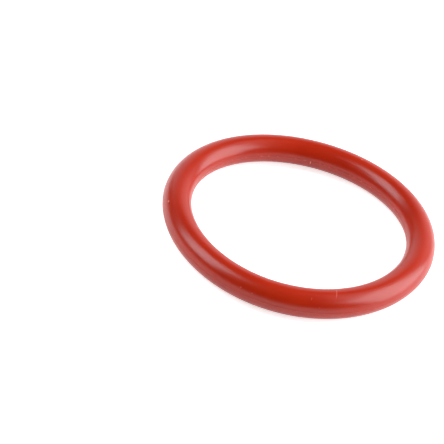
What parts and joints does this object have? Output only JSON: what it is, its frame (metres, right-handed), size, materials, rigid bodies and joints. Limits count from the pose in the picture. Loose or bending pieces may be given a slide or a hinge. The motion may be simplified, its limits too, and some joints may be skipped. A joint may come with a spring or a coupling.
{
  "type": "silicone o-ring",
  "caption": "Round-section silicone rubber sealing ring, moulded in one piece, with a fine trimmed parting line round its inside and outside.",
  "frame": {"origin": "centre of the ring, halfway up its section, on the ring's axis", "axes": "+Z along the ring's axis, square to the plane in which it lies; X and Y lie in that plane and are free to turn"},
  "size_m": [0.0514, 0.0514, 0.0054],
  "materials": {
    "silicone": "brick-red silicone rubber with a satin moulded skin"
  },
  "bodies": {
    "root": {"o_ring": "silicone"}
  },
  "joints": []
}
